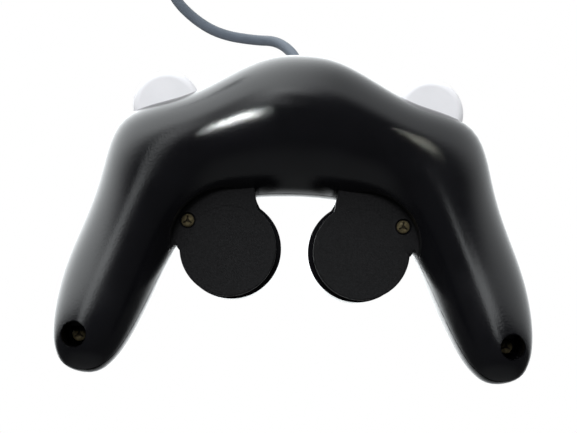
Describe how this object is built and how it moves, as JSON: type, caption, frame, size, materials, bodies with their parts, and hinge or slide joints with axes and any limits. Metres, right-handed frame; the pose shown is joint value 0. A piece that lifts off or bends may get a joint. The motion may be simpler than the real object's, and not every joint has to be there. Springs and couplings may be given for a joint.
{
  "type": "gamepad",
  "caption": "Wired gamepad with two grips, two round pods, thumb sticks, a directional pad, face buttons, pivoting shoulder triggers and a coiled cord with plug, lying face down.",
  "frame": {"origin": "middle of the casing's outline in plan, on the table it lies on, face down", "axes": "+X towards the player's left grip, the picture's right; +Y towards the cord; +Z out of the casing's back"},
  "size_m": [0.1388, 0.1846, 0.0649],
  "materials": {
    "shell": "satin-gloss black moulding with a very fine grain",
    "screw": "yellow zinc plating, slightly dull",
    "green_button": "smooth gloss",
    "red_button": "smooth gloss",
    "grey_button": "smooth satin",
    "indigo_button": "smooth gloss",
    "stick_grey": "matte soft-touch",
    "stick_yellow": "matte soft-touch",
    "trigger_grey": "satin light grey",
    "silicone": "matte translucent grey",
    "board": "solder resist",
    "chip": "matte black",
    "white_plastic": "natural acetal",
    "sensor_blue": "matte",
    "steel": "bright plated",
    "weight_steel": "plain sintered",
    "motor_can": "bright plated",
    "bracket_rubber": "matte",
    "cord": "matte dark blue-grey jacket",
    "plug": "satin dark grey",
    "shroud": "satin grey",
    "contact": "bright",
    "connector": "natural white"
  },
  "bodies": {
    "casing": {"back_shell": "shell", "board_chips": "chip", "board_screws": "steel", "c_stick_board": "board", "c_stick_housing": "steel", "c_stick_sensors": "sensor_blue", "c_stick_spring": "steel", "cable_connector": "connector", "cable_grommet": "cord", "cable_wires": "cord", "case_screws": "screw", "cord": "cord", "cord_coil": "cord", "dpad_board": "board", "dpad_membrane": "silicone", "face_button_membrane": "silicone", "front_shell": "shell", "left_trigger_pin": "steel", "left_trigger_sensor": "sensor_blue", "left_trigger_spring": "steel", "main_board": "board", "main_stick_housing": "steel", "main_stick_sensors": "sensor_blue", "main_stick_spring": "steel", "motor_bracket": "bracket_rubber", "plug_body": "plug", "plug_contacts": "contact", "plug_shroud": "shroud", "right_trigger_pin": "steel", "right_trigger_sensor": "sensor_blue", "right_trigger_spring": "steel", "rumble_motor": "motor_can", "start_membrane": "silicone", "z_switch": "chip"},
    "a_button": {"a_button": "green_button"},
    "b_button": {"b_button": "red_button"},
    "x_button": {"x_button": "grey_button"},
    "y_button": {"y_button": "grey_button"},
    "start_button": {"start_button": "grey_button"},
    "z_button": {"z_button": "indigo_button"},
    "dpad_pivot": {"dpad_pivot": "white_plastic"},
    "dpad": {"dpad": "grey_button"},
    "main_stick_cradle": {"main_stick_cradle": "white_plastic"},
    "main_stick": {"main_stick_shaft": "white_plastic", "main_stick_cap": "stick_grey"},
    "main_stick_rocker": {"main_stick_rocker": "white_plastic"},
    "c_stick_cradle": {"c_stick_cradle": "white_plastic"},
    "c_stick": {"c_stick_shaft": "white_plastic", "c_stick_cap": "stick_yellow"},
    "c_stick_rocker": {"c_stick_rocker": "white_plastic"},
    "left_trigger": {"left_trigger": "trigger_grey"},
    "right_trigger": {"right_trigger": "trigger_grey"},
    "left_trigger_slider": {"left_trigger_slider": "white_plastic"},
    "right_trigger_slider": {"right_trigger_slider": "white_plastic"},
    "motor_rotor": {"motor_shaft": "steel", "motor_weight": "weight_steel"}
  },
  "joints": [
    {"name": "a_press", "type": "slide", "parent": "casing", "child": "a_button", "axis": [0, 0, 1], "range_m": [0, 0.0018], "stiffness_N_per_m": 500, "springref_m": -0.003, "deforming": ["face_button_membrane"]},
    {"name": "b_press", "type": "slide", "parent": "casing", "child": "b_button", "axis": [0, 0, 1], "range_m": [0, 0.0018], "stiffness_N_per_m": 500, "springref_m": -0.0015, "deforming": ["face_button_membrane"]},
    {"name": "x_press", "type": "slide", "parent": "casing", "child": "x_button", "axis": [0, 0, 1], "range_m": [0, 0.0018], "stiffness_N_per_m": 500, "springref_m": -0.0015, "deforming": ["face_button_membrane"]},
    {"name": "y_press", "type": "slide", "parent": "casing", "child": "y_button", "axis": [0, 0, 1], "range_m": [0, 0.0018], "stiffness_N_per_m": 500, "springref_m": -0.0015, "deforming": ["face_button_membrane"]},
    {"name": "start_press", "type": "slide", "parent": "casing", "child": "start_button", "axis": [0, 0, 1], "range_m": [0, 0.0018], "stiffness_N_per_m": 500, "springref_m": -0.0015, "deforming": ["start_membrane"]},
    {"name": "z_press", "type": "slide", "parent": "casing", "child": "z_button", "axis": [0.4226, -0.9063, 0], "range_m": [0, 0.001], "stiffness_N_per_m": 800, "springref_m": -0.001},
    {"name": "dpad_up_down", "type": "hinge", "parent": "casing", "child": "dpad_pivot", "pos_m": [0.0193, -0.0115, 0.019], "axis": [1, 0, 0], "range_deg": [-5, 5], "stiffness_Nm_per_rad": 0.06, "deforming": ["dpad_membrane"]},
    {"name": "dpad_left_right", "type": "hinge", "parent": "dpad_pivot", "child": "dpad", "pos_m": [0.0193, -0.0115, 0.019], "axis": [0, 1, 0], "range_deg": [-5, 5], "stiffness_Nm_per_rad": 0.06, "deforming": ["dpad_membrane"]},
    {"name": "main_stick_up_down", "type": "hinge", "parent": "casing", "child": "main_stick_cradle", "pos_m": [0.039, 0.0135, 0.0225], "axis": [1, 0, 0], "range_deg": [-15, 15], "stiffness_Nm_per_rad": 0.06},
    {"name": "main_stick_left_right", "type": "hinge", "parent": "main_stick_cradle", "child": "main_stick", "pos_m": [0.039, 0.0135, 0.0225], "axis": [0, 1, 0], "range_deg": [-15, 15], "stiffness_Nm_per_rad": 0.06},
    {"name": "main_stick_rocker_turn", "type": "hinge", "parent": "casing", "child": "main_stick_rocker", "pos_m": [0.039, 0.0135, 0.0225], "axis": [0, 1, 0], "range_deg": [-15.5, 15.5]},
    {"name": "c_stick_up_down", "type": "hinge", "parent": "casing", "child": "c_stick_cradle", "pos_m": [-0.0193, -0.0115, 0.024], "axis": [1, 0, 0], "range_deg": [-15, 15], "stiffness_Nm_per_rad": 0.06},
    {"name": "c_stick_left_right", "type": "hinge", "parent": "c_stick_cradle", "child": "c_stick", "pos_m": [-0.0193, -0.0115, 0.024], "axis": [0, 1, 0], "range_deg": [-15, 15], "stiffness_Nm_per_rad": 0.06},
    {"name": "c_stick_rocker_turn", "type": "hinge", "parent": "casing", "child": "c_stick_rocker", "pos_m": [-0.0193, -0.0115, 0.024], "axis": [0, 1, 0], "range_deg": [-15.5, 15.5]},
    {"name": "left_trigger_pull", "type": "hinge", "parent": "casing", "child": "left_trigger", "pos_m": [0.038, 0.0293, 0.016], "axis": [1, 0, 0], "range_deg": [0, 13], "stiffness_Nm_per_rad": 0.05, "springref_deg": -6.88, "deforming": ["left_trigger_spring"]},
    {"name": "left_slider_travel", "type": "slide", "parent": "casing", "child": "left_trigger_slider", "axis": [0, -1, 0], "range_m": [0, 0.0018]},
    {"name": "right_trigger_pull", "type": "hinge", "parent": "casing", "child": "right_trigger", "pos_m": [-0.038, 0.0293, 0.016], "axis": [1, 0, 0], "range_deg": [0, 13], "stiffness_Nm_per_rad": 0.05, "springref_deg": -6.88, "deforming": ["right_trigger_spring"]},
    {"name": "right_slider_travel", "type": "slide", "parent": "casing", "child": "right_trigger_slider", "axis": [0, -1, 0], "range_m": [0, 0.0018]},
    {"name": "motor_spin", "type": "hinge", "parent": "casing", "child": "motor_rotor", "pos_m": [0.004, 0.0265, 0.0396], "axis": [1, 0, 0], "continuous": true}
  ],
  "couplings": [
    {"joint": "main_stick_rocker_turn", "follows": "main_stick_left_right", "ratio": 1},
    {"joint": "c_stick_rocker_turn", "follows": "c_stick_left_right", "ratio": 1},
    {"joint": "left_slider_travel", "follows": "left_trigger_pull", "m_per_rad": 0.0075},
    {"joint": "right_slider_travel", "follows": "right_trigger_pull", "m_per_rad": 0.0075}
  ]
}
